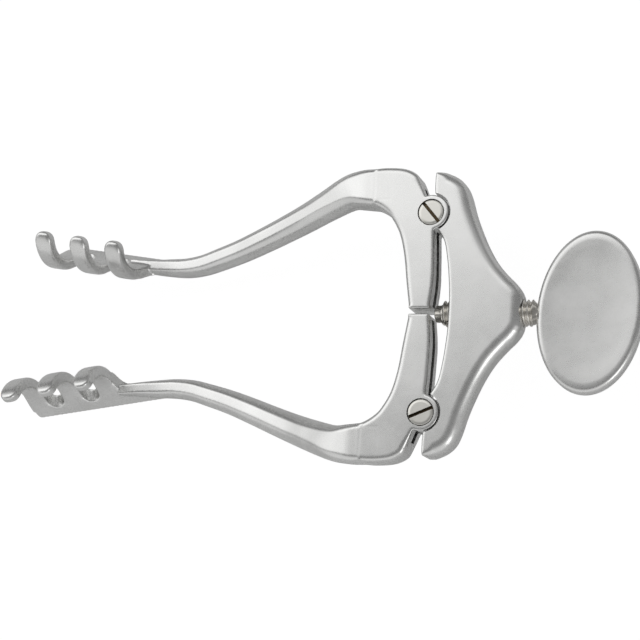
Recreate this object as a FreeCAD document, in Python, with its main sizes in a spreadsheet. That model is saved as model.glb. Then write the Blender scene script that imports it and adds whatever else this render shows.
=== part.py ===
"""Self retaining retractor with two hinged arms spread by a thumbscrew.

Units are millimetres. +X runs from the prongs towards the oval handle, +Y
from the screw axis to the upper arm and +Z away from the frame's flat back
face. The origin lies on that back face, on the screw's centre line.
"""
import FreeCAD
import Part

import math
import os

V = FreeCAD.Vector

SIZES = {
    # frame and hinges
    "frame_thickness": 5.0,
    "hinge_setback": 8.0,
    "hinge_half_span": 15.25,
    "shoulder_radius": 3.05,
    "tongue_radius": 2.6,
    "tongue_thickness": 1.3,
    "frame_edge_round": 1.3,
    # arm hubs and levers
    "knuckle_radius": 2.75,
    "fork_slot_width": 1.4,
    "lever_width": 3.2,
    "lever_end_gap": 0.4,
    "arm_edge_round": 0.7,
    # arm shafts
    "elbow_height": 4.98,
    "wrist_height": 4.0,
    "shaft_end_height": 2.6,
    # prong plates
    "plate_thickness": 1.7,
    "plate_foot_rise": 1.1,
    "plate_flare_deg": 8.7,
    "plate_lean_deg": 31.8,
    "plate_lean_height": 3.8,
    "prong_curl_radius": 5.9,
    "prong_curl_deg": 96.0,
    "prong_pitch": 6.5,
    "prong_width": 3.3,
    "prong_notch_height": 2.4,
    "prong_tip_round": 1.3,
    "prong_lead": 6.9,
    "wrist_blend_length": 4.5,
    # pivot screws
    "pivot_shank_radius": 1.2,
    "pivot_head_radius": 1.95,
    "pivot_head_depth": 1.2,
    "driver_slot_width": 0.5,
    "driver_slot_depth": 0.5,
    "running_clearance": 0.04,
    # thumbscrew
    "thread_radius": 2.0,
    "thread_pitch": 0.7,
    "spindle_tip_radius": 1.3,
    "spindle_tip_length": 0.9,
    "tip_to_lever_gap": 0.1,
    "handle_standoff": 16.7,
    "handle_length": 24.2,
    "handle_width": 15.4,
    "handle_thickness": 2.8,
    "handle_socket_depth": 2.0,
    "handle_turn_deg": 4.5,
}

doc = FreeCAD.newDocument("retractor")
sheet = doc.addObject("Spreadsheet::Sheet", "Sizes")
for row, (alias, value) in enumerate(SIZES.items(), start=1):
    sheet.set("A%d" % row, alias)
    sheet.set("B%d" % row, str(value))
    sheet.setAlias("B%d" % row, alias)
doc.recompute()


def size(alias):
    """Return one dimension from the spreadsheet as a plain number."""
    return float(sheet.get(alias))


THICKNESS = size("frame_thickness")
MID_Z = THICKNESS / 2.0
HINGE_X = -size("hinge_setback")
HINGE_Y = size("hinge_half_span")
# The free-form outlines were drawn for this half span and follow the sheet's.
DRAWN_HALF_SPAN = 15.25
DRAWING_SCALE = HINGE_Y / DRAWN_HALF_SPAN


def drawn(points):
    """Return outline points scaled from the drawing to the sheet's hinge span."""
    return [tuple(value * DRAWING_SCALE for value in point) for point in points]


def add_feature(name, shape):
    """Store a free-form solid as a named object."""
    feature = doc.addObject("Part::Feature", name)
    feature.Label = name
    feature.Shape = shape
    return feature


def spline_edge(points):
    """Return a smooth edge through the points."""
    curve = Part.BSplineCurve()
    curve.interpolate(points)
    return curve.toShape()


def cylinder(radius, height, base, axis=V(0, 0, 1)):
    """Return a cylinder solid."""
    return Part.makeCylinder(radius, height, base, axis)


def mirrored(points):
    """Return the points mirrored in the XZ plane, in reverse order."""
    return [V(p.x, -p.y, p.z) for p in reversed(points)]


def hinge(side):
    """Return the pivot centre on the back face for side +1 or -1."""
    return V(HINGE_X, side * HINGE_Y, 0.0)


# Frame: a thick triangular plate with a nose for the screw and one horn at
# each hinge. Its outline is given from the hinge line, for the +Y half.
FRAME_OUTER = drawn([(0.35, 21.75), (2.0, 21.65), (3.6, 21.0), (4.9, 19.8), (5.7, 18.1),
                     (6.6, 15.3), (7.6, 12.6), (8.8, 10.0), (10.3, 7.6), (12.0, 5.6),
                     (13.3, 4.3)])
FRAME_INNER = drawn([(1.15, 12.4), (2.35, 10.6), (2.95, 7.6), (3.3, 4.6), (3.45, 1.8),
                     (3.45, 0.0)])
NOSE_X, NOSE_HALF_WIDTH = drawn([(14.5, 3.1)])[0]


def frame_outline():
    """Return the closed outline of the frame on the back face."""
    outer = [V(HINGE_X + x, y, 0.0) for x, y in FRAME_OUTER]
    inner = [V(HINGE_X + x, y, 0.0) for x, y in FRAME_INNER]
    nose_top = V(HINGE_X + NOSE_X, NOSE_HALF_WIDTH, 0.0)
    nose_low = V(HINGE_X + NOSE_X, -NOSE_HALF_WIDTH, 0.0)
    inner_all = inner + mirrored(inner)[1:]
    edges = [
        spline_edge(outer),
        Part.makeLine(outer[-1], nose_top),
        Part.makeLine(nose_top, nose_low),
        Part.makeLine(nose_low, mirrored(outer)[0]),
        spline_edge(mirrored(outer)),
        Part.makeLine(mirrored(outer)[-1], inner_all[-1]),
        spline_edge(inner_all),
        Part.makeLine(inner_all[0], outer[0]),
    ]
    return Part.Wire(Part.__sortEdges__(edges))


def outer_edges(shape):
    """Return the long upper and lower outline edges outside the hinges."""
    chosen = []
    for edge in shape.Edges:
        box = edge.BoundBox
        flat = box.ZLength < 1e-4
        mid = edge.valueAt((edge.FirstParameter + edge.LastParameter) / 2.0)
        if flat and mid.x > HINGE_X + 5.0 and box.XLength + box.YLength > 0.5:
            chosen.append(edge)
    return chosen


def build_frame():
    """Return the frame with its shoulders, tongues and screw hole."""
    web_length = size("shoulder_radius") + 1.15
    web_width = 2.0 * size("tongue_radius") - 0.8
    body = Part.Face(frame_outline()).extrude(V(0, 0, THICKNESS))
    body = body.makeFillet(size("frame_edge_round"), outer_edges(body))
    for side in (1, -1):
        body = body.cut(cylinder(size("shoulder_radius"), THICKNESS, hinge(side)))
        low = V(0, 0, MID_Z - size("tongue_thickness") / 2.0)
        tongue = cylinder(size("tongue_radius"), size("tongue_thickness"), hinge(side) + low)
        web = Part.makeBox(web_length, web_width, size("tongue_thickness"),
                           hinge(side) + low - V(0, web_width / 2.0, 0))
        body = body.fuse(tongue).fuse(web)
        hole_radius = size("pivot_shank_radius") + size("running_clearance")
        body = body.cut(cylinder(hole_radius, THICKNESS, hinge(side)))
    bore = cylinder(size("thread_radius") + size("running_clearance"), NOSE_X + 1.0,
                    V(HINGE_X, 0, MID_Z), V(1, 0, 0))
    return body.cut(bore).removeSplitter()


# Arm: hub and lever in the frame's plane, a shaft that sinks away from it and
# a prong plate. Points are measured from the hinge line, for the +Y arm.
ELBOW_OUTER = drawn([(-1.95, 20.3), (-2.7, 21.55), (-4.6, 22.45), (-7.5, 22.75),
                     (-10.5, 22.75)])
ELBOW_INNER = drawn([(-10.5, 17.0), (-8.4, 16.3), (-6.3, 14.6), (-4.9, 12.2), (-4.0, 8.8),
                     (-3.4, 4.6)])
LEVER_BACK = drawn([(0.85, 4.5), (0.75, 9.0)])
LEVER_BACK_X = drawn([(0.45,)])[0][0]
# Shaft centre line from the elbow to inside the plate: x, y, height over the
# hinge's middle plane, and the shaft's width.
SHAFT_LINE = drawn([(-9.4, 19.8, 0.0, 5.7), (-11.5, 19.95, -0.65, 5.6),
                    (-14.0, 19.65, -1.55, 5.3), (-18.0, 18.4, -3.0, 4.95),
                    (-22.0, 17.0, -4.15, 4.6), (-26.0, 15.5, -5.05, 4.3),
                    (-30.0, 13.95, -5.8, 4.05), (-34.0, 12.5, -6.5, 3.8),
                    (-38.0, 11.3, -7.1, 3.6), (-41.0, 10.5, -7.5, 3.4),
                    (-44.0, 10.15, -7.8, 3.2), (-47.0, 10.2, -7.7, 2.9),
                    (-50.5, 10.35, -7.3, 2.3), (-54.0, 10.7, -6.8, 1.6)])
WRIST_INDEX = 10


def hub_outline(side):
    """Return the closed outline of the hub and lever on the back face."""
    end = size("lever_end_gap")
    width = size("lever_width")
    rim = size("knuckle_radius")
    lean = math.radians(-78.0)
    upper = math.radians(112.0)
    arc_points = [V(rim * math.cos(a), HINGE_Y + rim * math.sin(a), 0) for a in
                  (lean, (lean + upper) / 2.0, upper)]
    outer = [V(x, y, 0) for x, y in ELBOW_OUTER]
    inner = [V(x, y, 0) for x, y in ELBOW_INNER]
    lever = [V(x, y, 0) for x, y in LEVER_BACK]
    back = [V(LEVER_BACK_X, end, 0)] + lever + [arc_points[0]]
    front = inner + [V(LEVER_BACK_X - width, end, 0)]
    chains = [back, arc_points, [arc_points[-1], outer[0]], outer, [outer[-1], inner[0]],
              front, [front[-1], back[0]]]
    edges = []
    for index, chain in enumerate(chains):
        chain = [V(p.x + HINGE_X, side * p.y, 0) for p in chain]
        if index == 1:
            edges.append(Part.Arc(*chain).toShape())
        elif len(chain) == 2:
            edges.append(Part.makeLine(*chain))
        else:
            edges.append(spline_edge(chain))
    return Part.Wire(Part.__sortEdges__(edges))


def hub_rims(shape):
    """Return the upper and lower rims of the hub's two long curved walls."""
    chosen = []
    for edge in shape.Edges:
        flat = edge.BoundBox.ZLength < 1e-4
        mid = edge.valueAt((edge.FirstParameter + edge.LastParameter) / 2.0)
        if flat and edge.Length > 6.0 and mid.x < HINGE_X - 1.5:
            chosen.append(edge)
    return chosen


def shaft_section(centre, along, width, height, roundness):
    """Return an oval wire across the shaft, flatter on its sides when roundness is low."""
    across = V(0, 0, 1).cross(along).normalize()
    lift = along.cross(across).normalize()
    ring = []
    for step in range(32):
        angle = 2.0 * math.pi * step / 32.0
        cosine = math.cos(angle)
        sine = math.sin(angle)
        reach = math.copysign(abs(cosine) ** roundness, cosine) * width / 2.0
        rise = math.copysign(abs(sine) ** roundness, sine) * height / 2.0
        ring.append(centre + across * reach + lift * rise)
    curve = Part.BSplineCurve()
    curve.interpolate(ring, PeriodicFlag=True)
    return Part.Wire(curve.toShape())


def shaft_points(side):
    """Return the centre line of the shaft in space."""
    return [V(HINGE_X + x, side * y, MID_Z + rise) for x, y, rise, _ in SHAFT_LINE]


def shaft_height(index):
    """Return the shaft's height at one of its points."""
    elbow = size("elbow_height")
    wrist = size("wrist_height")
    if index <= WRIST_INDEX:
        return elbow + (wrist - elbow) * index / float(WRIST_INDEX)
    share = (index - WRIST_INDEX) / float(len(SHAFT_LINE) - 1 - WRIST_INDEX)
    return wrist + (size("shaft_end_height") - wrist) * share


def build_shaft(side):
    """Return the tapering shaft as one loft."""
    points = shaft_points(side)
    sections = []
    last = len(points) - 1
    for index, point in enumerate(points):
        ahead = points[min(index + 1, last)]
        behind = points[max(index - 1, 0)]
        share = index / float(last)
        roundness = min(0.8, 0.45 + 0.6 * share)
        along = V(-1, 0, 0) if index == 0 else (ahead - behind).normalize()
        sections.append(shaft_section(point, along, SHAFT_LINE[index][3],
                                      shaft_height(index), roundness))
    return Part.makeLoft(sections, True, False)


def plate_frame(side, shift):
    """Return origin, running and outward directions of the prong plate."""
    flare = math.radians(size("plate_flare_deg"))
    along = V(-math.cos(flare), side * math.sin(flare), 0)
    outward = V(math.sin(flare), side * math.cos(flare), 0)
    start = shaft_points(side)[WRIST_INDEX]
    bottom = start.z - size("wrist_height") / 2.0 + size("plate_foot_rise")
    return V(start.x, start.y, bottom) + along * shift, along, outward


def curl_outline(origin, outward):
    """Return the closed hook profile of the prongs across the plate."""
    lean = math.radians(size("plate_lean_deg"))
    sweep = math.radians(size("prong_curl_deg"))
    radius = size("prong_curl_radius")
    half = size("plate_thickness") / 2.0
    height = size("plate_lean_height")

    def place(out, up):
        return origin + outward * out + V(0, 0, up)

    def on_line(offset, up):
        return place(-up * math.tan(lean) + offset / math.cos(lean), up)

    centre_out = -height * math.tan(lean) + radius * math.cos(lean)
    centre_up = height + radius * math.sin(lean)

    def on_arc(offset, turn):
        reach = radius - offset
        angle = math.pi + lean - turn
        return place(centre_out + reach * math.cos(angle), centre_up + reach * math.sin(angle))

    inner = [on_arc(-half, sweep * f) for f in (0.0, 0.5, 1.0)]
    outer = [on_arc(half, sweep * f) for f in (0.0, 0.5, 1.0)]
    edges = [
        Part.makeLine(on_line(-half, 0.0), inner[0]),
        Part.Arc(*inner).toShape(),
        Part.makeLine(inner[-1], outer[-1]),
        Part.Arc(*outer).toShape(),
        Part.makeLine(outer[0], on_line(half, 0.0)),
        Part.makeLine(on_line(half, 0.0), on_line(-half, 0.0)),
    ]
    return Part.Wire(Part.__sortEdges__(edges))


def side_cut(origin, outward, points):
    """Return a cutter through the plate from points on its side view."""
    reach = 14.0
    loop = [origin - outward * reach + p for p in points]
    return Part.Face(Part.makePolygon(loop + loop[:1])).extrude(outward * 2.0 * reach)


def build_plate(side):
    """Return the prong plate: one long hook profile cut into three prongs.

    The lower plate's prongs are set half a pitch further out, so that they
    mesh with the upper plate's when the arms close.
    """
    pitch = size("prong_pitch")
    width = size("prong_width")
    gap = pitch - width
    radius = gap / 2.0
    lead = size("prong_lead") + (0.0 if side > 0 else pitch / 2.0)
    length = lead + 2.0 * pitch + width
    origin, along, outward = plate_frame(side, 0.0)
    plate = Part.Face(curl_outline(origin, outward)).extrude(along * length)
    floor = size("prong_notch_height")
    above = 2.0 * (size("plate_lean_height") + 2.0 * size("prong_curl_radius"))
    up = V(0, 0, 1)
    for index in (1, 2):
        end = lead + pitch * index
        low = floor + radius
        slot = [along * (end - gap) + up * low, along * end + up * low,
                along * end + up * above, along * (end - gap) + up * above]
        plate = plate.cut(side_cut(origin, outward, slot))
        centre = origin + along * (end - radius) - outward * 14.0 + up * low
        plate = plate.cut(cylinder(radius, 28.0, centre, outward))
    run = lead - size("wrist_blend_length")
    rise = size("plate_lean_height")
    shoulder = [up * rise * 0.2 - along * 1.0, along * run + up * rise * 0.45,
                along * (lead - 1.6) + up * rise * 0.8, along * (lead - 0.4) + up * rise * 1.5,
                along * lead + up * rise * 2.2, along * lead + up * above,
                up * above - along * 1.0]
    plate = plate.cut(side_cut(origin, outward, shoulder))
    return round_tips(plate, side)


def round_tips(plate, side):
    """Round the corners at each prong's free end."""
    corners = []
    thickness = size("plate_thickness")
    for edge in plate.Edges:
        if abs(edge.Length - thickness) > 0.05 or len(edge.Vertexes) != 2:
            continue
        if edge.CenterOfMass.z > plate.BoundBox.ZMax - 3.2:
            corners.append(edge)
    if corners:
        plate = plate.makeFillet(size("prong_tip_round"), corners)
    return plate


def build_arm(side):
    """Return one arm: hub, lever, shaft and prong plate in one piece."""
    hub = Part.Face(hub_outline(side)).extrude(V(0, 0, THICKNESS))
    hub = hub.makeFillet(size("arm_edge_round"), hub_rims(hub))
    slot_low = MID_Z - size("fork_slot_width") / 2.0
    fork_reach = size("shoulder_radius") + 0.15
    fork_half = size("shoulder_radius") + 1.25
    slot = Part.makeBox(2.0 * fork_reach, 2.0 * fork_half, size("fork_slot_width"),
                        V(HINGE_X - fork_reach, side * HINGE_Y - fork_half, slot_low))
    hub = hub.cut(slot)
    # a saw cut runs up the lever's back edge from just above its end
    cut_depth = size("lever_width") / 2.0
    cut_start = size("lever_end_gap") + 0.5
    cut_length = HINGE_Y - cut_start
    cut_low = cut_start if side > 0 else -HINGE_Y
    lever_slot = Part.makeBox(cut_depth, cut_length, size("fork_slot_width"),
                              V(HINGE_X - cut_depth / 4.0, cut_low, slot_low))
    hub = hub.cut(lever_slot)
    arm = hub.fuse(build_shaft(side)).fuse(build_plate(side))
    head_depth = size("pivot_head_depth")
    clearance = size("running_clearance")
    arm = arm.cut(cylinder(size("pivot_shank_radius") + clearance, THICKNESS, hinge(side)))
    seat = hinge(side) + V(0, 0, THICKNESS - head_depth)
    return arm.cut(cylinder(size("pivot_head_radius") + clearance, head_depth + 1.0, seat))


def add_sketch(body, name, role, offset=0.0):
    """Attach a sketch to one of the body's origin planes."""
    sketch = body.newObject("Sketcher::SketchObject", name)
    plane = next(f for f in body.Origin.OriginFeatures if f.Role == role)
    sketch.AttachmentSupport = [(plane, "")]
    sketch.MapMode = "FlatFace"
    sketch.AttachmentOffset = FreeCAD.Placement(V(0, 0, offset), FreeCAD.Rotation())
    return sketch


def draw_loop(sketch, points):
    """Draw a closed polygon."""
    for start, end in zip(points, points[1:] + points[:1]):
        sketch.addGeometry(Part.LineSegment(V(*start, 0), V(*end, 0)), False)


def add_pivot_screw(name, side, slot_angle):
    """Add a slotted pivot screw: a turned profile and a driver slot."""
    body = doc.addObject("PartDesign::Body", name)
    body.Label = name
    shank = size("pivot_shank_radius")
    head = size("pivot_head_radius")
    seat = THICKNESS - size("pivot_head_depth")
    profile = add_sketch(body, name + "_profile", "XZ_Plane")
    draw_loop(profile, [(0, 0.1), (shank - 0.2, 0.1), (shank, 0.3), (shank, seat),
                        (head, seat), (head, THICKNESS - 0.12), (head - 0.12, THICKNESS),
                        (0, THICKNESS)])
    turned = body.newObject("PartDesign::Revolution", name + "_turned")
    turned.Profile = profile
    turned.ReferenceAxis = (profile, ["V_Axis"])
    turned.Angle = 360.0
    profile.Visibility = False
    cut = add_sketch(body, name + "_slot", "XY_Plane", THICKNESS)
    half = size("driver_slot_width") / 2.0
    draw_loop(cut, [(-3, -half), (3, -half), (3, half), (-3, half)])
    slot = body.newObject("PartDesign::Pocket", name + "_driver_slot")
    slot.Profile = cut
    slot.setExpression("Length", "Sizes.driver_slot_depth")
    body.Placement = FreeCAD.Placement(hinge(side), FreeCAD.Rotation(V(0, 0, 1), slot_angle))
    doc.recompute()
    return body


def add_spindle():
    """Add the threaded spindle, from the lever tips into the handle."""
    body = doc.addObject("PartDesign::Body", "spindle")
    body.Label = "spindle"
    radius = size("thread_radius")
    tip = size("spindle_tip_radius")
    start = HINGE_X + 0.85 + size("tip_to_lever_gap")
    neck = start + size("spindle_tip_length")
    end = HINGE_X + size("handle_standoff") + size("handle_socket_depth")
    profile = add_sketch(body, "spindle_profile", "XZ_Plane")
    draw_loop(profile, [(start, 0), (start, tip - 0.25), (start + 0.25, tip), (neck, tip),
                        (neck + 0.4, radius), (end, radius), (end, 0)])
    turned = body.newObject("PartDesign::Revolution", "spindle_turned")
    turned.Profile = profile
    turned.ReferenceAxis = (profile, ["H_Axis"])
    turned.Angle = 360.0
    body.Placement = FreeCAD.Placement(V(0, 0, MID_Z), FreeCAD.Rotation())
    doc.recompute()
    return body


def build_handle():
    """Return the oval finger plate with its rounded rim and socket."""
    half_length = size("handle_length") / 2.0
    half_width = size("handle_width") / 2.0
    thickness = size("handle_thickness")
    centre_x = HINGE_X + size("handle_standoff") + half_width - 0.35
    ellipse = Part.Ellipse(V(0, 0, 0), half_length, half_width)
    plate = Part.Face(Part.Wire(ellipse.toShape())).extrude(V(0, 0, thickness))
    rims = [e for e in plate.Edges if e.BoundBox.ZLength < 1e-4]
    plate = plate.makeFillet(thickness * 0.36, rims)
    turn = 90.0 - size("handle_turn_deg")
    plate.Placement = FreeCAD.Placement(V(centre_x, 0, MID_Z - thickness / 2.0),
                                        FreeCAD.Rotation(V(0, 0, 1), turn))
    rod = cylinder(size("thread_radius"), 12.0,
                   V(HINGE_X + size("handle_standoff") + size("handle_socket_depth") - 12.0, 0, MID_Z),
                   V(1, 0, 0))
    return plate.cut(rod)


add_feature("hinge_frame", build_frame())
add_feature("upper_arm", build_arm(1))
add_feature("lower_arm", build_arm(-1))
add_pivot_screw("upper_pivot_screw", 1, -50.0)
add_pivot_screw("lower_pivot_screw", -1, 23.0)
add_spindle()
add_feature("oval_handle", build_handle())
doc.recompute()

NODES = ["hinge_frame", "upper_arm", "lower_arm", "upper_pivot_screw", "lower_pivot_screw",
         "spindle", "oval_handle"]

for item in doc.Objects:
    if "Invalid" in item.State or "Error" in item.State:
        raise RuntimeError("object %s did not build" % item.Name)

os.makedirs("parts", exist_ok=True)
for node in NODES:
    item = doc.getObject(node)
    shape = item.Shape
    if shape.isNull() or not shape.isValid():
        raise RuntimeError("node %s has no valid shape" % node)
    print(node, len(shape.Solids), "solids", round(shape.Volume, 2), shape.BoundBox)
    shape.exportStep("parts/%s.step" % node)
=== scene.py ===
"""Studio scene of the self retaining retractor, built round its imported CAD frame.

Lengths inside the builders are millimetres in the row frame: +X runs from the
prongs to the oval handle, +Y to the upper arm and +Z away from the frame's
back face. Meshes are scaled to metres when they are linked.
"""

import logging
import math
from dataclasses import dataclass, field
from enum import Enum

import bmesh
import bpy
from mathutils import Matrix, Vector


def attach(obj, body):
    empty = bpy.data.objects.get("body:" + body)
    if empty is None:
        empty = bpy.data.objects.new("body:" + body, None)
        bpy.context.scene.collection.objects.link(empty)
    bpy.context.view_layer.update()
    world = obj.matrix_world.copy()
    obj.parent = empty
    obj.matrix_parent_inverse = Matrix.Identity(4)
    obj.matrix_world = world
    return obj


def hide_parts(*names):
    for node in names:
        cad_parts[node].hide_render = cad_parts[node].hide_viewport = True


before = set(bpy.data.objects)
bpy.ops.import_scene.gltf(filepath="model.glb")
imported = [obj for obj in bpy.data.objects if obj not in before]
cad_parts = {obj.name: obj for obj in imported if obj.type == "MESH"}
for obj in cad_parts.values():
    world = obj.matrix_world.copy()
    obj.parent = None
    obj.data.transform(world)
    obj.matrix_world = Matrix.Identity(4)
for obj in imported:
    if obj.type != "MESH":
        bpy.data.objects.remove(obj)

LOG = logging.getLogger("retractor")
MM = 0.001
Point2 = tuple[float, float]
BELOW, ABOVE = -1.0, 6.0  # heights at which cutting tools start and end
WELD = 0.01  # how far a joined block stays inside the faces it meets


class Side(Enum):
    """Which arm a piece belongs to; the value is the sign of Y."""

    UPPER = 1
    LOWER = -1


class Slot(Enum):
    """Material slots of the record."""

    SATIN = "satin_steel"
    BRIGHT = "bright_steel"
    SCREW = "screw_steel"


class Socket:
    """A shader value that can be used in arithmetic, which adds Math nodes."""

    def __init__(self, graph: "Graph", output: bpy.types.NodeSocket) -> None:
        """Wrap an output socket.

        Args:
            graph: the graph that owns the socket's node.
            output: the socket to wrap.
        """
        self.graph = graph
        self.output = output

    def _math(self, operation: str, left: object, right: object) -> "Socket":
        """Return left and right joined by one Math node."""
        return self.graph.node("ShaderNodeMath", {"operation": operation}, {0: left, 1: right})

    def __add__(self, other: object) -> "Socket":
        """Return self + other."""
        return self._math("ADD", self, other)

    def __radd__(self, other: object) -> "Socket":
        """Return other + self."""
        return self._math("ADD", other, self)

    def __sub__(self, other: object) -> "Socket":
        """Return self - other."""
        return self._math("SUBTRACT", self, other)

    def __rsub__(self, other: object) -> "Socket":
        """Return other - self."""
        return self._math("SUBTRACT", other, self)

    def __mul__(self, other: object) -> "Socket":
        """Return self * other."""
        return self._math("MULTIPLY", self, other)

    def __rmul__(self, other: object) -> "Socket":
        """Return other * self."""
        return self._math("MULTIPLY", other, self)

    def clamped(self) -> "Socket":
        """Return self kept between 0 and 1."""
        return self.graph.node("ShaderNodeClamp", {}, {"Value": self})


class Graph:
    """A node tree that is filled through one method."""

    def __init__(self, tree: bpy.types.NodeTree) -> None:
        """Start from an empty tree.

        Args:
            tree: the node tree to fill.
        """
        self.tree = tree
        tree.nodes.clear()

    def node(self, kind: str, settings: dict[str, object], inputs: dict[object, object],
             output: object = 0) -> Socket:
        """Add a node.

        Args:
            kind: the node's type name.
            settings: properties to set on the node.
            inputs: socket names or numbers to values or links.
            output: name or number of the output to return.

        Returns:
            The chosen output, wrapped.
        """
        made = self.tree.nodes.new(kind)
        for name, value in settings.items():
            setattr(made, name, value)
        for key, value in inputs.items():
            if isinstance(value, Socket):
                self.tree.links.new(value.output, made.inputs[key])
            else:
                made.inputs[key].default_value = value
        picked = made.outputs[output] if len(made.outputs) else None
        return Socket(self, picked)


@dataclass(frozen=True)
class SteelFinish:
    """A stainless steel finish with grain, patches and fine relief.

    Attributes:
        name: material name.
        light: colour of the brighter patches.
        dark: colour of the duller patches.
        roughness: mean roughness.
        spread: how far the roughness wanders.
        grain: grain size in millimetres.
        relief: height of the grain in micrometres.
        stretch: how much longer the grain is along X, Y and Z.
    """

    name: str
    light: tuple[float, float, float] = (0.79, 0.79, 0.78)
    dark: tuple[float, float, float] = (0.63, 0.63, 0.622)
    roughness: float = 0.27
    spread: float = 0.10
    grain: float = 0.16
    relief: float = 4.0
    stretch: tuple[float, float, float] = (1.0, 1.0, 1.0)

    def build(self) -> bpy.types.Material:
        """Return the finished material."""
        material = bpy.data.materials.new(self.name)
        material.use_nodes = True
        graph = Graph(material.node_tree)
        place = graph.node("ShaderNodeTexCoord", {}, {}, "Object")
        scale = tuple(1.0 / (self.grain * MM * s) for s in self.stretch)
        fine_place = graph.node("ShaderNodeVectorMath", {"operation": "MULTIPLY"},
                                {0: place, 1: scale})
        fine = graph.node("ShaderNodeTexNoise", {},
                          {"Vector": fine_place, "Scale": 1.0, "Detail": 3.0, "Roughness": 0.6})
        patch = graph.node("ShaderNodeTexNoise", {},
                           {"Vector": place, "Scale": 160.0, "Detail": 4.0, "Roughness": 0.55})
        wear = graph.node("ShaderNodeTexNoise", {},
                          {"Vector": place, "Scale": 900.0, "Detail": 6.0, "Roughness": 0.7})
        tone = ((patch - 0.5) * 1.6 + (fine - 0.5) * 0.5 + (wear - 0.5) * 0.5 + 0.5).clamped()
        colour = graph.node("ShaderNodeMix", {"data_type": "RGBA"},
                            {0: tone, 6: (*self.dark, 1.0), 7: (*self.light, 1.0)}, 2)
        rough = ((fine - 0.5) * self.spread + (patch - 0.5) * self.spread * 1.2
                 + (wear - 0.5) * self.spread * 0.8 + self.roughness).clamped()
        relief = graph.node("ShaderNodeBump", {},
                            {"Strength": 0.5, "Distance": self.relief * 1e-6,
                             "Height": fine + wear * 0.6})
        shader = graph.node("ShaderNodeBsdfPrincipled", {},
                            {"Base Color": colour, "Metallic": 1.0, "Roughness": rough,
                             "Normal": relief})
        graph.node("ShaderNodeOutputMaterial", {}, {"Surface": shader})
        return material


@dataclass(frozen=True)
class FloorFinish:
    """White paper that keeps a soft shadow.

    Attributes:
        name: material name.
        albedo: how much light the paper returns.
        glow: share of plain white in what the camera sees.
        white: strength of that plain white.
    """

    name: str = "white_paper"
    albedo: float = 0.86
    glow: float = 0.82
    white: float = 1.14

    def build(self) -> bpy.types.Material:
        """Return the finished material."""
        material = bpy.data.materials.new(self.name)
        material.use_nodes = True
        graph = Graph(material.node_tree)
        place = graph.node("ShaderNodeTexCoord", {}, {}, "Object")
        fibre = graph.node("ShaderNodeTexNoise", {}, {"Vector": place, "Scale": 900.0})
        colour = graph.node("ShaderNodeMix", {"data_type": "RGBA"},
                            {0: fibre, 6: (self.albedo, self.albedo, self.albedo, 1.0),
                             7: (self.albedo + 0.02, self.albedo + 0.02, self.albedo + 0.02, 1.0)},
                            2)
        paper = graph.node("ShaderNodeBsdfDiffuse", {}, {"Color": colour})
        white = graph.node("ShaderNodeEmission", {},
                           {"Color": (1, 1, 1, 1), "Strength": self.white})
        seen = graph.node("ShaderNodeLightPath", {}, {}, "Is Camera Ray") * self.glow
        mixed = graph.node("ShaderNodeMixShader", {}, {0: seen, 1: paper, 2: white})
        graph.node("ShaderNodeOutputMaterial", {}, {"Surface": mixed})
        return material


class Finishes:
    """Every steel finish, built once."""

    def __init__(self) -> None:
        """Build the materials."""
        self.forged = SteelFinish("forged_satin_steel").build()
        self.plate = SteelFinish("plate_satin_steel", roughness=0.28, grain=0.2).build()
        self.bright = SteelFinish("turned_bright_steel", light=(0.82, 0.80, 0.76),
                                  dark=(0.58, 0.56, 0.52), roughness=0.24, relief=2.0,
                                  stretch=(0.4, 1.0, 1.0)).build()
        self.screw = SteelFinish("screw_head_steel", light=(0.78, 0.77, 0.73),
                                 dark=(0.64, 0.63, 0.59), roughness=0.34, grain=0.12,
                                 relief=1.2, stretch=(4.0, 1.0, 1.0)).build()
        # Dark brown steel for the faces inside the driver slots: painted shade in the slot's
        # recess.
        self.painted_slot_shade = SteelFinish("slot_shade_painted_steel", light=(0.17, 0.13, 0.08),
                                  dark=(0.06, 0.045, 0.03), roughness=0.5).build()


def linked(name: str, data: bpy.types.ID) -> bpy.types.Object:
    """Return a new object of the scene that holds data."""
    made = bpy.data.objects.new(name, data)
    bpy.context.scene.collection.objects.link(made)
    return made


def spline(points: list[tuple[float, ...]], per_span: int = 8) -> list[Vector]:
    """Return a uniform Catmull-Rom curve through points.

    Args:
        points: control points in the plane or in space.
        per_span: samples between two neighbours.

    Returns:
        The sampled curve, with both ends.
    """
    knots = [Vector((*p, 0.0)) if len(p) == 2 else Vector(p) for p in points]
    knots = [knots[0] * 2 - knots[1], *knots, knots[-1] * 2 - knots[-2]]
    curve: list[Vector] = []
    for i in range(1, len(knots) - 2):
        a, b, c, d = knots[i - 1:i + 3]
        for step in range(per_span):
            t = step / per_span
            curve.append(0.5 * ((2 * b) + (c - a) * t + (2 * a - 5 * b + 4 * c - d) * t * t
                                + (3 * b - a - 3 * c + d) * t ** 3))
    curve.append(knots[-2])
    return curve


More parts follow.
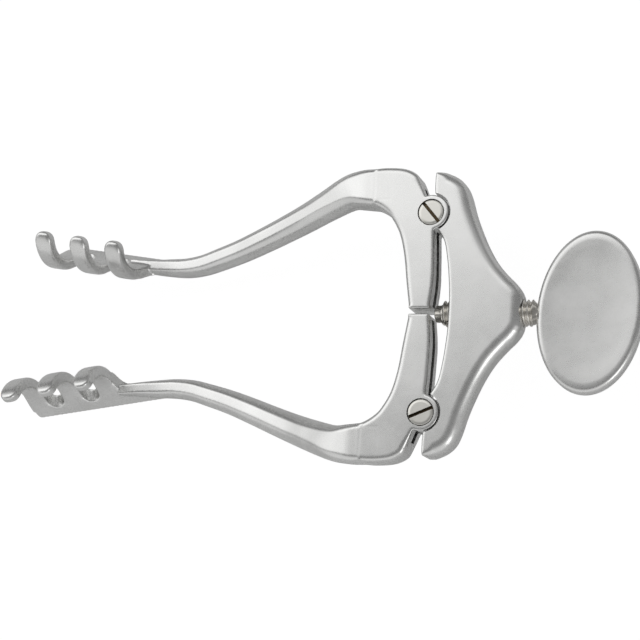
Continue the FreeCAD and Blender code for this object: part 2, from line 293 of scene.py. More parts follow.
class Solid:
    """A mesh in the making, in millimetres."""

    def __init__(self, name: str) -> None:
        """Start an empty solid.

        Args:
            name: name of the mesh and its object.
        """
        self.name = name
        self.mesh = bpy.data.meshes.new(name)

    def _take(self, verts: list[Vector], faces: list[tuple[int, ...]]) -> "Solid":
        """Add vertices and faces to the mesh and return self."""
        bm = bmesh.new()
        bm.from_mesh(self.mesh)
        made = [bm.verts.new(v) for v in verts]
        for face in faces:
            bm.faces.new([made[i] for i in face])
        bmesh.ops.recalc_face_normals(bm, faces=bm.faces[:])
        bm.to_mesh(self.mesh)
        bm.free()
        return self

    def rings(self, rings: list[list[Vector]]) -> "Solid":
        """Add a closed tube through the rings, capped at both ends.

        Args:
            rings: rings of equal length, in order.

        Returns:
            This solid.
        """
        count = len(rings[0])
        verts = [v for ring in rings for v in ring]
        faces: list[tuple[int, ...]] = []
        for r in range(len(rings) - 1):
            for i in range(count):
                j = (i + 1) % count
                faces.append((r * count + i, r * count + j,
                              (r + 1) * count + j, (r + 1) * count + i))
        faces.append(tuple(range(count)))
        last = (len(rings) - 1) * count
        faces.append(tuple(range(last, last + count)))
        return self._take(verts, faces)

    def rounded_prism(self, outline: list[Vector], radii: list[float], low: float,
                      high: float, steps: int = 6) -> "Solid":
        """Add a plate whose rims are rounded by a radius per outline point.

        Args:
            outline: closed outline, counter-clockwise.
            radii: rim radius at each point.
            low: height of the lower face.
            high: height of the upper face.
            steps: facets across each rounded rim.

        Returns:
            This solid.
        """
        count = len(outline)
        normals = []
        for i in range(count):
            ahead = outline[(i + 1) % count] - outline[i - 1]
            normals.append(Vector((ahead.y, -ahead.x, 0.0)).normalized())

        def rim(turn: float, face: float, sign: int) -> list[Vector]:
            """Return one ring of the rounded rim between a face and the side."""
            inset, rise = 1 - math.sin(turn), sign * (1 - math.cos(turn))
            return [p - n * r * inset + Vector((0, 0, face + r * rise))
                    for p, n, r in zip(outline, normals, radii)]

        turns = [math.pi / 2 * s / steps for s in range(steps + 1)]
        lower = [rim(turn, low, 1) for turn in turns]
        upper = [rim(turn, high, -1) for turn in reversed(turns)]
        return self.rings(lower + upper)

    def lathe(self, profile: list[Point2], base: Vector, axis: str = "Z",
              segments: int = 64) -> "Solid":
        """Add a turned body from (radius, height) pairs.

        Args:
            profile: radius and height along the axis, in order.
            base: foot of the axis.
            axis: "X" or "Z".
            segments: facets round the axis.

        Returns:
            This solid.
        """
        rings = []
        for radius, height in profile:
            ring = []
            for s in range(segments):
                a = 2 * math.pi * s / segments
                u, v = radius * math.cos(a), radius * math.sin(a)
                local = Vector((u, v, height)) if axis == "Z" else Vector((height, u, v))
                ring.append(base + local)
            rings.append(ring)
        return self.rings(rings)

    def block(self, low: Vector, high: Vector, turn: float = 0.0,
              about: Vector = Vector()) -> "Solid":
        """Add a box, turned about a vertical line.

        Args:
            low: lowest corner.
            high: highest corner.
            turn: angle in degrees.
            about: a point on the vertical line.

        Returns:
            This solid.
        """
        spin = Matrix.Translation(about) @ Matrix.Rotation(math.radians(turn), 4, "Z")
        corners = [(low.x, low.y), (high.x, low.y), (high.x, high.y), (low.x, high.y)]
        rings = [[spin @ (Vector((x, y, z)) - about) for x, y in corners]
                 for z in (low.z, high.z)]
        return self.rings(rings)

    def modified(self, kind: str, **settings: object) -> "Solid":
        """Apply one modifier to the mesh.

        Args:
            kind: the modifier's type.
            settings: its properties.

        Returns:
            This solid.
        """
        holder = linked(self.name, self.mesh)
        modifier = holder.modifiers.new(kind, kind)
        for key, value in settings.items():
            setattr(modifier, key, value)
        graph = bpy.context.evaluated_depsgraph_get()
        graph.update()
        fresh = bpy.data.meshes.new_from_object(holder.evaluated_get(graph))
        bpy.data.objects.remove(holder)
        self.mesh = fresh
        return self

    def combined(self, other: "Solid", operation: str) -> "Solid":
        """Join with, or cut by, another solid.

        Args:
            other: the second solid, which is used up.
            operation: "UNION" or "DIFFERENCE".

        Returns:
            This solid.
        """
        tool = linked("tool", other.mesh)
        self.modified("BOOLEAN", object=tool, operation=operation, solver="EXACT")
        bpy.data.objects.remove(tool)
        return self

    def joined(self, other: "Solid") -> "Solid":
        """Put another solid's faces into this mesh without merging them."""
        bm = bmesh.new()
        bm.from_mesh(self.mesh)
        bm.from_mesh(other.mesh)
        bm.to_mesh(self.mesh)
        bm.free()
        return self

    def placed(self, material: bpy.types.Material, body: str, node: str, slot: Slot,
               sharp: float = 35.0) -> bpy.types.Object:
        """Link the finished piece in metres and hand it to the frame.

        Args:
            material: its finish.
            body: CAD body it rides on.
            node: CAD node it stands for.
            slot: material slot of the record; not used.
            sharp: angle in degrees from which edges stay sharp.

        Returns:
            The linked object.
        """
        self.mesh.transform(Matrix.Scale(MM, 4))
        self.mesh.shade_smooth()
        self.mesh.set_sharp_from_angle(angle=math.radians(sharp))
        self.mesh.materials.clear()
        self.mesh.materials.append(material)
        piece = linked(self.name, self.mesh)
        normals = piece.modifiers.new("normals", "WEIGHTED_NORMAL")
        normals.keep_sharp = True
        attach(piece, body)
        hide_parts(node)
        LOG.info("%s: %d faces on %s", self.name, len(self.mesh.polygons), body)
        return piece


@dataclass
class Hinge:
    """Sizes shared by the frame, the arms and the pivot screws.

    Attributes:
        x, half_span: place of a pivot along X and from the middle line.
        thickness: thickness of the frame and the hubs.
        shoulder_radius: radius of the frame's hollow round a hub.
        knuckle_radius: radius of the hub in that hollow.
        tongue_radius, tongue_thickness: the frame's tongue in the hub's slot.
        slot_width: height of the saw slot in the hub.
        shank_radius: radius of the pivot screw's shank.
        hole_clearance: how much wider the holes round the shank are.
        head_radius, head_depth: the pivot screw's head.
        seat_clearance: how much wider the head's seat is.
    """

    x: float = -8.0
    half_span: float = 15.25
    thickness: float = 5.0
    shoulder_radius: float = 3.05
    knuckle_radius: float = 2.75
    tongue_radius: float = 2.6
    tongue_thickness: float = 1.3
    slot_width: float = 1.4
    shank_radius: float = 1.2
    hole_clearance: float = 0.04
    head_radius: float = 1.95
    head_depth: float = 1.2
    seat_clearance: float = 0.12

    @property
    def middle(self) -> float:
        """Return the height of the screw axis above the back face."""
        return self.thickness / 2

    @property
    def hole_radius(self) -> float:
        """Return the radius of the holes round a pivot screw's shank."""
        return self.shank_radius + self.hole_clearance

    def centre(self, side: Side) -> Vector:
        """Return the pivot centre on the back face."""
        return Vector((self.x, side.value * self.half_span, 0.0))


@dataclass
class HingeFrame:
    """The triangular frame with its horns, tongues and nose.

    Attributes:
        hinge: the shared hinge sizes.
        inner, horn, outer, nose: outline of one half, in this order.
        rim_radius: rim radius of the outer outline and the nose.
        inner_radius, horn_radius: rim radii of the inner outline and the horn.
        blend: outline points over which the rim grows to full.
        bore: radius and place of the screw hole's profile.
        voxel: mesh size.
    """

    hinge: Hinge
    outer: list[Point2] = field(default_factory=lambda: [
        (0.45, 21.6), (2.0, 21.62), (3.6, 20.95), (4.85, 19.8), (5.65, 18.1), (6.5, 15.3),
        (7.55, 12.6), (8.75, 10.0), (10.2, 7.6), (11.9, 5.6), (13.2, 4.3), (13.95, 3.3)])
    inner: list[Point2] = field(default_factory=lambda: [
        (3.45, 0.0), (3.42, 2.2), (3.25, 4.6), (2.9, 7.6), (2.3, 10.6), (1.2, 12.6)])
    horn: tuple[Point2, ...] = ((1.05, 14.0), (0.9, 16.0), (0.45, 18.4), (0.4, 19.4),
                                (0.4, 20.6))
    nose: tuple[Point2, ...] = ((14.3, 2.5), (14.45, 1.7), (14.5, 0.9), (14.5, 0.0))
    rim_radius: float = 1.7
    inner_radius: float = 0.35
    horn_radius: float = 0.3
    blend: float = 14.0
    bore: tuple[Point2, ...] = ((2.04, -8.0), (2.04, 6.2), (2.35, 6.55), (2.35, 8.0))
    voxel: float = 0.12

    def outline(self) -> tuple[list[Vector], list[float]]:
        """Return the closed outline and the rim radius at each point."""
        shift = Vector((self.hinge.x, 0, 0))
        outer = spline(self.outer, 10)
        inner = spline(self.inner, 10)
        half: list[tuple[Vector, float]] = [(p, self.inner_radius) for p in inner]
        for x, y in self.horn:
            half.append((Vector((x, y, 0)), self.horn_radius))
        for index, p in enumerate(outer):
            share = min(1.0, index / self.blend)
            half.append((p, self.inner_radius + (self.rim_radius - self.inner_radius) * share))
        for x, y in self.nose:
            half.append((Vector((x, y, 0)), self.rim_radius))
        mirrored = [(Vector((p.x, -p.y, 0)), r) for p, r in reversed(half[1:-1])]
        whole = [(p + shift, r) for p, r in half + mirrored]
        whole.reverse()
        return [p for p, _ in whole], [r for _, r in whole]

    def build(self, finishes: Finishes) -> list[bpy.types.Object]:
        """Build and place the frame.

        Args:
            finishes: the shared finishes.

        Returns:
            The placed pieces.
        """
        hinge = self.hinge
        points, radii = self.outline()
        body = Solid("triangular_frame").rounded_prism(points, radii, 0.0, hinge.thickness, 8)
        body.modified("TRIANGULATE")
        body.modified("REMESH", mode="VOXEL", voxel_size=self.voxel, adaptivity=0.0)
        body.modified("SMOOTH", factor=0.5, iterations=6)
        for side in Side:
            centre = hinge.centre(side)
            seat = Solid("seat").lathe([(hinge.shoulder_radius, BELOW),
                                        (hinge.shoulder_radius, ABOVE)], centre, segments=96)
            body.combined(seat, "DIFFERENCE")
            low = hinge.middle - hinge.tongue_thickness / 2
            high = hinge.middle + hinge.tongue_thickness / 2
            tongue = Solid("tongue").lathe([(hinge.tongue_radius, low),
                                            (hinge.tongue_radius, high)], centre)
            body.combined(tongue, "UNION")
            web = Solid("web").block(centre + Vector((0, -2.2, low + WELD)),
                                     centre + Vector((4.2, 2.2, high - WELD)))
            body.combined(web, "UNION")
            hole = Solid("hole").lathe([(hinge.hole_radius, BELOW),
                                        (hinge.hole_radius, ABOVE)], centre)
            body.combined(hole, "DIFFERENCE")
        bore = Solid("bore").lathe(list(self.bore), Vector((0, 0, hinge.middle)), "X")
        body.combined(bore, "DIFFERENCE")
        return [body.placed(finishes.plate, "frame", "hinge_frame", Slot.SATIN)]


@dataclass
class RetractorArm:
    """One arm: hub and lever, sinking shaft and hooked prong plate.

    Attributes:
        hinge: the shared hinge sizes.
        side: the arm's side.
        voxel: mesh size.
        lever_gap: distance of the lever's end from the middle line.
        lever_back, lever_width: the lever's back and width at its end.
        elbow_height, wrist_height, end_height: height along the shaft.
        foot_rise: plate's foot above the shaft's underside at the wrist.
        plate_thickness: thickness of the plate.
        flare: angle of the plate's run outwards from -X.
        lean, lean_height: angle and height of the leaning part.
        curl_radius, curl: radius and angle of the hook's curl.
        prongs, pitch, prong_width: number, spacing and width of the prongs.
        prong_belly: how much thicker a prong is at its middle.
        notch_height: height of the notch floors.
        lead: upper arm's plate before its first prong.
        wrist: row of the shaft at which the plate starts.
        ridge_half, ridge_crease: half width and edge angle of the crest.
        blend_rings: rings from the flat top to the crest.
        edge: rim radius of the hub and the shaft's first ring.
        shaft: place, height over the middle and width along the shaft.
    """

    hinge: Hinge
    side: Side
    voxel: float = 0.13
    lever_gap: float = 0.4
    lever_back: float = 0.45
    lever_width: float = 3.2
    elbow_height: float = 4.98
    wrist_height: float = 4.0
    end_height: float = 2.6
    foot_rise: float = 1.1
    plate_thickness: float = 1.85
    flare: float = 8.7
    lean: float = 31.8
    lean_height: float = 3.8
    curl_radius: float = 5.9
    curl: float = 100.0
    prongs: int = 3
    pitch: float = 6.5
    prong_width: float = 3.1
    prong_belly: float = 0.245
    notch_height: float = 1.7
    lead: float = 6.9
    wrist: int = 10
    ridge_half: float = 0.72
    ridge_crease: float = 14.0
    blend_rings: int = 22
    edge: float = 0.75
    shaft: list[tuple[float, float, float, float]] = field(default_factory=lambda: [
        (-9.4, 19.75, 0.0, 5.8), (-11.5, 19.85, -0.06, 5.65), (-14.0, 19.65, -0.6, 5.3),
        (-18.0, 18.4, -2.3, 4.95), (-22.0, 17.0, -3.95, 4.6), (-26.0, 15.5, -5.05, 4.3),
        (-30.0, 13.95, -5.8, 4.05), (-34.0, 12.5, -6.5, 3.8), (-38.0, 11.3, -7.1, 3.6),
        (-41.0, 10.5, -7.5, 3.4), (-44.0, 10.15, -7.8, 3.2), (-47.0, 10.2, -7.7, 2.9),
        (-50.5, 10.35, -7.3, 2.3), (-54.0, 10.7, -6.8, 1.6)])

    def _flip(self, p: Vector) -> Vector:
        """Return a point of the upper arm's drawing on this arm's side."""
        return Vector((p.x + self.hinge.x, p.y * self.side.value, p.z))

    def hub(self) -> Solid:
        """Return the hub and lever."""
        rim = self.hinge.knuckle_radius
        centre_y = self.hinge.half_span
        start, end = math.radians(-78), math.radians(112)
        arc = [Vector((rim * math.cos(a), centre_y + rim * math.sin(a), 0))
               for a in (start + (end - start) * s / 24 for s in range(25))]
        outer = spline([(-1.95, 20.3), (-2.7, 21.55), (-4.6, 22.45), (-7.5, 22.72),
                        (-9.6, 22.58)], 8)
        inner = spline([(-9.6, 16.97), (-8.6, 16.55), (-7.4, 15.8), (-6.3, 14.7),
                        (-4.9, 12.2), (-4.0, 8.8), (-3.4, 4.6),
                        (self.lever_back - self.lever_width, self.lever_gap)], 8)
        back = spline([(self.lever_back, self.lever_gap), (0.85, 4.5), (0.75, 9.0),
                       (arc[0].x, arc[0].y)], 8)
        outline = back[:-1] + arc + outer + inner
        radii = ([0.3] * (len(back) - 1) + [0.2] * len(arc)
                 + [self.edge] * (len(outer) + len(inner)))
        radii[0] = radii[-1] = 0.12
        outline = [self._flip(p) for p in outline]
        if self.side is Side.LOWER:
            outline.reverse()
            radii.reverse()
        return Solid("hub").rounded_prism(outline, radii, 0.0, self.hinge.thickness, 5)

    def shaft_line(self) -> list[tuple[Vector, float, float]]:
        """Return smooth centre points of the shaft with width and height."""
        centres = spline([(x, y, self.hinge.middle + rise) for x, y, rise, _ in self.shaft], 6)
        heights = []
        for index in range(len(self.shaft)):
            if index <= self.wrist:
                share = index / self.wrist
                heights.append(self.elbow_height + (self.wrist_height - self.elbow_height) * share)
            else:
                share = (index - self.wrist) / (len(self.shaft) - 1 - self.wrist)
                heights.append(self.wrist_height + (self.end_height - self.wrist_height) * share)
        sizes = spline([(row[3], tall) for row, tall in zip(self.shaft, heights)], 6)
        return [(self._flip(c), v.x, v.y) for c, v in zip(centres, sizes)]

    def ridge_ring(self, flat: float, side: float, half: float, rise: float) -> list[Point2]:
        """Return a section with flat top and bottom and elliptical sides.

        Args:
            flat: half width of the flat.
            side: how far each side swells beyond the flat.
            half: half height of the section.
            rise: height of each rounded shoulder.

        Returns:
            Across and up values round the section.
        """
        edge = math.radians(self.ridge_crease)
        quarter = []
        for step in range(11):
            angle = (math.pi / 2 - edge) * (1 - step / 10)
            quarter.append((flat + side * math.cos(angle) - side * math.sin(edge) * (1 - step / 10),
                            half - rise + rise * math.sin(angle) + rise * (1 - math.cos(edge))
                            * (1 - step / 10)))
        quarter.reverse()
        top_right = quarter
        top_left = [(-u, v) for u, v in reversed(quarter)]
        low_left = [(-u, -v) for u, v in quarter]
        low_right = [(u, -v) for u, v in reversed(quarter)]
        return top_right + top_left + low_left + low_right

    def shaft_solid(self) -> Solid:
        """Return the tapering shaft: flat-topped near the elbow, rounder at the wrist."""
        line = self.shaft_line()
        rings = []
        last = len(line) - 1
        for index, (point, width, height) in enumerate(line):
            ahead = line[min(index + 1, last)][0]
            behind = line[max(index - 1, 0)][0]
            along = (ahead - behind).normalized()
            if index < 3:
                along = Vector((-1, 0, 0))
            elif index < 9:
                along = along.lerp(Vector((-1, 0, 0)), (9 - index) / 9).normalized()
            across = Vector((0, 0, 1)).cross(along).normalized()
            lift = along.cross(across).normalized()
            share = min(1.0, index / self.blend_rings)
            share = share * share * (3 - 2 * share)
            flat = (width / 2 - self.edge) * (1 - share) + self.ridge_half * share
            side = width / 2 - flat
            rise = self.edge * (1 - share) + height * 0.46 * share
            rings.append([point + across * u + lift * v for u, v in
                          self.ridge_ring(flat, side, height / 2, rise)])
        root = [p + Vector((3.0, 0, 0)) for p in rings[0]]
        return Solid("shaft").rings([root, *rings])

    def plate_axes(self) -> tuple[Vector, Vector, Vector]:
        """Return the plate's origin, running direction and outward direction."""
        flare = math.radians(self.flare)
        sign = self.side.value
        along = Vector((-math.cos(flare), sign * math.sin(flare), 0))
        outward = Vector((math.sin(flare), sign * math.cos(flare), 0))
        x, y, rise, _ = self.shaft[self.wrist]
        foot = self.hinge.middle + rise - self.wrist_height / 2 + self.foot_rise
        return self._flip(Vector((x, y, foot))), along, outward

    def hook(self, travel: float, offset: float) -> Point2:
        """Return (outward, up) on the hook profile.

        Args:
            travel: distance along the profile from its foot.
            offset: distance to the outer side of its middle line.

        Returns:
            Outward and upward distances from the plate's origin.
        """
        lean = math.radians(self.lean)
        straight = self.lean_height / math.cos(lean)
        if travel <= straight:
            up = travel * math.cos(lean)
            return (-travel * math.sin(lean) + offset * math.cos(lean),
                    up + offset * math.sin(lean))
        turn = (travel - straight) / self.curl_radius
        centre = (-straight * math.sin(lean) + self.curl_radius * math.cos(lean),
                  self.lean_height + self.curl_radius * math.sin(lean))
        angle = math.pi + lean - turn
        reach = self.curl_radius - offset
        return centre[0] + reach * math.cos(angle), centre[1] + reach * math.sin(angle)

    def section_ring(self, travel: float, middle: float, width: float, thickness: float,
                     power: float = 0.5) -> list[Vector]:
        """Return a rounded cross-section ring of a prong."""
        origin, along, outward = self.plate_axes()
        ring = []
        for s in range(40):
            a = 2 * math.pi * s / 40
            u = math.copysign(abs(math.cos(a)) ** power, math.cos(a)) * width / 2
            v = math.copysign(abs(math.sin(a)) ** power, math.sin(a)) * thickness / 2
            out, up = self.hook(travel, v)
            ring.append(origin + along * (middle + u) + outward * out + Vector((0, 0, up)))
        return ring

    def prong(self, middle: float) -> Solid:
        """Return one hooked prong, full at its root and drawn in to a blunt rounded tip."""
        straight = self.lean_height / math.cos(math.radians(self.lean))
        total = straight + math.radians(self.curl) * self.curl_radius
        start, tip, steps = 0.9, 1.5, 56
        rings = []
        for s in range(steps + 1):
            share = s / steps
            travel = start + (total - tip - start) * share
            root = math.exp(-(share / 0.35) ** 2)
            width = self.prong_width + 0.7 * root - 0.1 * share
            belly = math.sin(math.pi * min(1.0, share * 1.3))
            thickness = self.plate_thickness + self.prong_belly * belly
            rings.append(self.section_ring(travel, middle, width, thickness, 0.38))
        for s in range(1, 10):
            angle = math.pi / 2 * s / 9.4
            rings.append(self.section_ring(
                total - tip + tip * math.sin(angle), middle,
                (self.prong_width - 0.1) * max(0.25, math.cos(angle) ** 0.75),
                self.plate_thickness * max(0.3, math.cos(angle) ** 0.5), 0.45))
        return Solid("prong").rings(rings)

    def plate_top(self, s: float, lead: float) -> float:
        """Return the plate's height above its foot at a distance along it."""
        gap = self.pitch - self.prong_width
        radius = gap / 2
        floor = self.notch_height
        if s < lead:
            back = lead - s
            ramp = 0.5 + 1.4 * min(1.0, s / lead)
            return ramp + (floor + radius + 1.2 - ramp) * math.exp(-(back / 0.7) ** 1.6)
        cell = (s - lead) % self.pitch
        if cell <= self.prong_width or s > lead + (self.prongs - 1) * self.pitch:
            return floor + radius
        local = cell - self.prong_width - radius
        return floor + radius - math.sqrt(max(0.0, radius ** 2 - local ** 2))

    def plate(self) -> Solid:
        """Return the plate under the prongs, with round notch floors."""
        lead = self.lead + (0.0 if self.side is Side.UPPER else self.pitch / 2)
        length = lead + (self.prongs - 1) * self.pitch + self.prong_width
        origin, along, outward = self.plate_axes()
        lean = math.radians(self.lean)
        rings = []
        columns = 150
        for c in range(columns + 1):
            s = length * c / columns
            nose = max(0.0, 1.0 - (length - s) / 0.8)
            foot = 0.65 * (1 - math.sqrt(max(0.0, 1 - nose ** 2)))
            top = self.plate_top(s, lead)
            half = self.plate_thickness / 2 * (1.0 - 0.25 * nose ** 2) * min(1.0, 0.3 + s / 4)
            ring = []
            rows = 20
            for offset, order in ((half, range(rows + 1)), (-half, range(rows, -1, -1))):
                for r in order:
                    level = foot + (top - foot) * r / rows
                    travel = (level - offset * math.sin(lean)) / math.cos(lean)
                    out, up = self.hook(travel, offset)
                    ring.append(origin + along * s + outward * out + Vector((0, 0, up)))
            rings.append(ring)
        solid = Solid("plate").rings(rings)
        for index in range(self.prongs):
            solid.joined(self.prong(lead + self.pitch * index + self.prong_width / 2))
        return solid

    def build(self, finishes: Finishes) -> list[bpy.types.Object]:
        """Build and place the arm.

        Args:
            finishes: the shared finishes.

        Returns:
            The placed pieces.
        """
        hinge = self.hinge
        name = self.side.name.lower()
        arm = Solid(name + "_retractor_arm")
        arm.joined(self.hub()).joined(self.shaft_solid()).joined(self.plate())
        arm.modified("TRIANGULATE")
        arm.modified("REMESH", mode="VOXEL", voxel_size=self.voxel, adaptivity=0.0)
        arm.modified("SMOOTH", factor=0.5, iterations=5)
        centre = hinge.centre(self.side)
        low = hinge.middle - hinge.slot_width / 2
        high = hinge.middle + hinge.slot_width / 2
        arm.combined(Solid("slot").block(centre + Vector((-3.2, -4.3, low)),
                                         centre + Vector((3.4, 4.3, high))), "DIFFERENCE")
        ends = sorted((self.side.value * 0.95, self.side.value * (hinge.half_span - 1)))
        arm.combined(Solid("saw").block(Vector((hinge.x - 0.4, ends[0], low)),
                                        Vector((hinge.x + 1.6, ends[1], high))), "DIFFERENCE")
        top = hinge.thickness - hinge.head_depth
        seat_radius = hinge.head_radius + hinge.seat_clearance
        seat = Solid("seat").lathe([(hinge.hole_radius, BELOW), (hinge.hole_radius, top),
                                    (seat_radius, top), (seat_radius, 5.3)], centre)
        arm.combined(seat, "DIFFERENCE")
        return [arm.placed(finishes.forged, name + "_arm_body", name + "_arm", Slot.SATIN, 50.0)]


@dataclass
class PivotScrew:
    """A slotted pivot screw, flush in its arm.

    Attributes:
        hinge: the shared hinge sizes.
        side: the arm it holds.
        slot_angle, slot_width, slot_depth: the driver slot.
    """

    hinge: Hinge
    side: Side
    slot_angle: float
    slot_width: float = 0.5
    slot_depth: float = 0.6

    def build(self, finishes: Finishes) -> list[bpy.types.Object]:
        """Build and place the screw.

        Args:
            finishes: the shared finishes.

        Returns:
            The placed pieces.
        """
        hinge = self.hinge
        top = hinge.thickness
        seat = top - hinge.head_depth
        r, s = hinge.head_radius, hinge.shank_radius
        profile = [(s - 0.2, 0.1), (s, 0.3), (s, seat), (r, seat), (r, top - 0.14),
                   (r - 0.05, top - 0.06), (r - 0.14, top - 0.01), (r - 0.5, top)]
        name = self.side.name.lower()
        screw = Solid(name + "_slotted_screw").lathe(profile, hinge.centre(self.side))
        centre = hinge.centre(self.side)
        half = self.slot_width / 2
        cutter = Solid("driver").block(centre + Vector((-3, -half, top - self.slot_depth)),
                                       centre + Vector((3, half, top + 1)), self.slot_angle,
                                       centre)
        screw.combined(cutter, "DIFFERENCE")
        piece = screw.placed(finishes.screw, name + "_arm_body", name + "_pivot_screw",
                             Slot.SCREW)
        # Faces inside the driver slot take the dark brown finish: painted shade in the slot.
        piece.data.materials.append(finishes.painted_slot_shade)
        for face in piece.data.polygons:
            middle = face.center / MM
            if seat + 0.1 < middle.z < top - 0.02 and (middle - centre).xy.length < r - 0.1:
                face.material_index = 1
        return [piece]


@dataclass
class Thumbscrew:
    """The threaded spindle and its oval finger plate.

    Attributes:
        hinge: the shared hinge sizes.
        radius: radius over the thread.
        pitch: pitch of the thread.
        thread_depth, thread_slope, thread_root: its depth, flanks and flat root.
        lead_in: length over which the thread grows to full.
        start, end: tip of the spindle and end of the thread.
        neck_radius, neck_end: the neck inside the finger plate.
        tip_radius, tip_length: the plain tip.
        handle_centre: place of the finger plate's middle.
        handle_length, handle_width, handle_thickness: its sizes.
        handle_turn: angle of the plate from square, in degrees.
        handle_rim: radius of its rim.
    """

    hinge: Hinge
    radius: float = 2.0
    pitch: float = 0.7
    thread_depth: float = 0.36
    thread_slope: float = 2.6
    thread_root: float = 0.12
    lead_in: float = 0.5
    start: float = -7.05
    end: float = 7.85
    neck_radius: float = 1.2
    neck_end: float = 9.6
    tip_radius: float = 1.3
    tip_length: float = 0.9
    handle_centre: float = 16.05
    handle_length: float = 24.2
    handle_width: float = 15.4
    handle_thickness: float = 2.8
    handle_turn: float = 4.5
    handle_rim: float = 0.8

    def spindle(self) -> Solid:
        """Return the spindle with a cut helical thread."""
        rings = []
        segments = 72
        per_pitch = 14
        neck = self.start + self.tip_length
        base = Vector((0, 0, self.hinge.middle))

        def turned(x: float, radius: float) -> list[Vector]:
            """Return one round ring of the spindle."""
            return [base + Vector((x, radius * math.cos(2 * math.pi * s / segments),
                                   radius * math.sin(2 * math.pi * s / segments)))
                    for s in range(segments)]

        tip = [(self.start, self.tip_radius - 0.3), (self.start + 0.08, self.tip_radius - 0.12),
               (self.start + 0.25, self.tip_radius), (neck, self.tip_radius)]
        for x, radius in tip:
            rings.append(turned(x, radius))
        count = int((self.end - neck - 0.05) / self.pitch * per_pitch)
        for c in range(count + 1):
            x = neck + 0.05 + (self.end - neck - 0.05) * c / count
            limit = min(1.0, (x - neck) / self.lead_in)
            ring = []
            for s in range(segments):
                a = 2 * math.pi * s / segments
                phase = (x / self.pitch - s / segments) % 1.0
                wave = min(1.0, max(0.0, self.thread_slope * abs(phase - 0.5)
                                    - self.thread_root))
                radius = self.radius - self.thread_depth * (1 - wave)
                radius = self.tip_radius + (radius - self.tip_radius) * limit
                ring.append(base + Vector((x, radius * math.cos(a), radius * math.sin(a))))
            rings.append(ring)
        for x, radius in ((self.end + 0.12, 1.72), (self.end + 0.45, self.neck_radius + 0.2),
                          (self.end + 0.6, self.neck_radius), (self.neck_end, self.neck_radius)):
            rings.append(turned(x, radius))
        return Solid("threaded_spindle").rings(rings)

    def handle(self) -> Solid:
        """Return the oval plate, slightly dished, with a rounded rim."""
        half = self.handle_thickness / 2
        rim = self.handle_rim
        rows: list[Point2] = [(0.02, half - 0.17), (0.3, half - 0.16), (0.6, half - 0.12),
                              (0.78, half - 0.06), (0.87, half - 0.015)]
        rings = []
        profile: list[tuple[float, float, float]] = [(share, 0.0, height)
                                                     for share, height in rows]
        for step in range(1, 13):
            angle = math.pi / 2 * step / 12
            profile.append((1.0, -rim * (1 - math.sin(angle)),
                            half - rim * (1 - math.cos(angle))))
        mirrored = [(a, b, -c) for a, b, c in reversed(profile)]
        for share, inset, height in profile + mirrored:
            ring = []
            for s in range(160):
                a = 2 * math.pi * s / 160
                x = (self.handle_width / 2 * share + inset) * math.cos(a)
                y = (self.handle_length / 2 * share + inset) * math.sin(a)
                ring.append(Vector((x, y, height)))
            rings.append(ring)
        solid = Solid("oval_finger_plate").rings(rings)
        place = (Matrix.Translation(Vector((self.handle_centre, 0, self.hinge.middle)))
                 @ Matrix.Rotation(math.radians(-self.handle_turn), 4, "Z"))
        solid.mesh.transform(place)
        rod = Solid("rod").lathe([(self.neck_radius + 0.01, 5.0),
                                  (self.neck_radius + 0.01, self.neck_end + 0.01)],
                                 Vector((0, 0, self.hinge.middle)), "X")
        return solid.combined(rod, "DIFFERENCE")

    def build(self, finishes: Finishes) -> list[bpy.types.Object]:
        """Build and place the spindle and its handle.

        Args:
            finishes: the shared finishes.

        Returns:
            The placed pieces.
        """
        return [
            self.spindle().placed(finishes.bright, "spindle_body", "spindle", Slot.BRIGHT, 60.0),
            self.handle().placed(finishes.plate, "handle_body", "oval_handle", Slot.SATIN),
        ]


@dataclass(frozen=True)
class SoftBox:
    """One rectangular light.

    Attributes:
        name: the light's name.
        place: position in metres.
        size: width and height in metres.
        power: strength in watts.
    """

    name: str
    place: tuple[float, float, float]
    size: Point2
    power: float


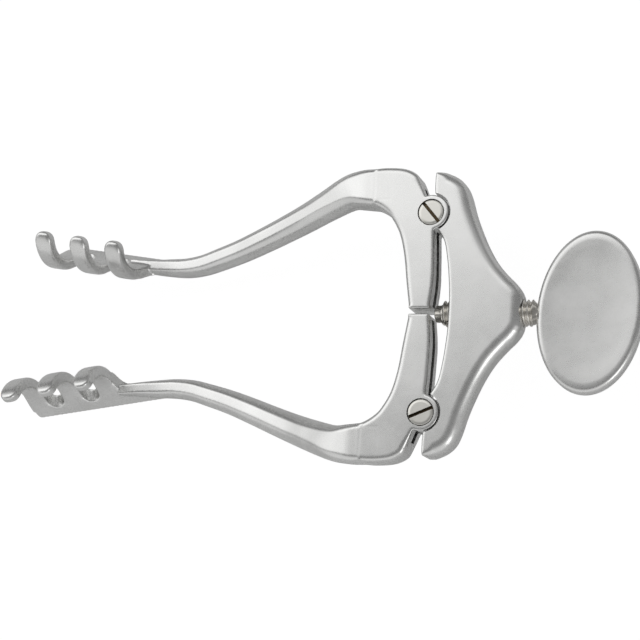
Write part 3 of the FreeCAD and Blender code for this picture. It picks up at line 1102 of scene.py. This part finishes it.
@dataclass
class Studio:
    """White ground, soft boxes and the camera.

    Attributes:
        floor_level: height of the ground.
        ambient: strength of the surroundings everywhere.
        ceiling: added strength of the zone above and behind.
        front: added strength of the zone in front.
        boxes: the lights.
        aim: point they face, in metres.
        camera_place, lens, rows: the camera's place, focal length and rotation.
    """

    floor_level: float = -9.6
    ambient: float = 0.27
    ceiling: float = 0.95
    front: float = 0.50
    boxes: tuple[SoftBox, ...] = (
        SoftBox("key", (-0.23, 0.29, 0.50), (0.55, 0.30), 0.12),
        SoftBox("rim", (0.40, -0.30, 0.22), (0.20, 0.20), 0.22))
    aim: tuple[float, float, float] = (-0.02, 0.0, 0.0)
    camera_place: tuple[float, float, float] = (54.894, -51.7, 220.328)
    lens: float = 87.081
    rows: tuple[tuple[float, float, float], ...] = (
        (0.941073, 0.009995, 0.338056),
        (0.066744, 0.974416, -0.214611),
        (-0.331552, 0.224528, 0.91633))

    def camera(self) -> None:
        """Create the camera at the photographed angle."""
        data = bpy.data.cameras.new("camera")
        data.lens = self.lens
        data.sensor_width = 36.0
        data.clip_start = 0.01
        camera = linked("camera", data)
        camera.matrix_world = (Matrix.Translation(Vector(self.camera_place) * MM)
                               @ Matrix(self.rows).to_4x4())
        bpy.context.scene.camera = camera

    def soft_box(self, box: SoftBox) -> None:
        """Add one rectangular light that faces the aim.

        Args:
            box: the light's sizes.
        """
        data = bpy.data.lights.new(box.name, "AREA")
        data.shape = "RECTANGLE"
        data.size, data.size_y = box.size
        data.energy = box.power
        light = linked(box.name, data)
        light.location = Vector(box.place)
        way = Vector(self.aim) - Vector(box.place)
        light.rotation_euler = way.to_track_quat("-Z", "Y").to_euler()
        light.visible_camera = False

    def floor(self) -> bpy.types.Object:
        """Create the white ground."""
        reach = 600.0
        solid = Solid("ground").rings([
            [Vector((x * reach, y * reach, z)) for x, y in ((-1, -1), (1, -1), (1, 1), (-1, 1))]
            for z in (self.floor_level - 1.0, self.floor_level)])
        solid.mesh.transform(Matrix.Scale(MM, 4))
        solid.mesh.materials.append(FloorFinish().build())
        ground = linked("ground", solid.mesh)
        return ground

    def world(self) -> None:
        """Set soft surroundings that are brighter above and behind.

        Camera rays see plain white; all others see the zones.
        """
        world = bpy.data.worlds.new("studio")
        bpy.context.scene.world = world
        world.use_nodes = True
        graph = Graph(world.node_tree)
        way = graph.node("ShaderNodeTexCoord", {}, {}, "Generated")
        x = graph.node("ShaderNodeSeparateXYZ", {}, {0: way}, 0)
        y = graph.node("ShaderNodeSeparateXYZ", {}, {0: way}, 1)
        z = graph.node("ShaderNodeSeparateXYZ", {}, {0: way}, 2)
        # Each zone is a product of soft edges: (direction - threshold) * sharpness.
        ceiling = (((y * 0.88 - x * 0.47 - 0.25) * 9.0).clamped()
                   * ((z - 0.15) * 4.0).clamped() * ((0.80 - y) * 3.0).clamped())
        front = ((y * -1.0 - 0.05) * 3.0).clamped() * ((0.90 - z) * 3.5).clamped()
        light = ceiling * self.ceiling + front * self.front + self.ambient
        seen = graph.node("ShaderNodeLightPath", {}, {}, "Is Camera Ray")
        strength = seen + (1.0 - seen) * light
        ground = graph.node("ShaderNodeBackground", {}, {"Color": (1, 1, 1, 1),
                                                         "Strength": strength})
        graph.node("ShaderNodeOutputWorld", {}, {"Surface": ground})

    def build(self) -> None:
        """Create everything round the object."""
        self.camera()
        self.world()
        self.floor()
        for box in self.boxes:
            self.soft_box(box)
        bpy.context.scene.view_settings.view_transform = "Standard"


def main() -> None:
    """Build every piece in order and report it."""
    logging.basicConfig(level=logging.INFO, format="%(message)s")
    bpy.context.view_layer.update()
    finishes = Finishes()
    hinge = Hinge()
    builders = [
        HingeFrame(hinge),
        RetractorArm(hinge, Side.UPPER),
        RetractorArm(hinge, Side.LOWER),
        PivotScrew(hinge, Side.UPPER, -50.0),
        PivotScrew(hinge, Side.LOWER, 23.0),
        Thumbscrew(hinge),
    ]
    for builder in builders:
        for piece in builder.build(finishes):
            LOG.info("%s built %s", type(builder).__name__, piece.name)
    Studio().build()


if __name__ == "__main__":
    main()
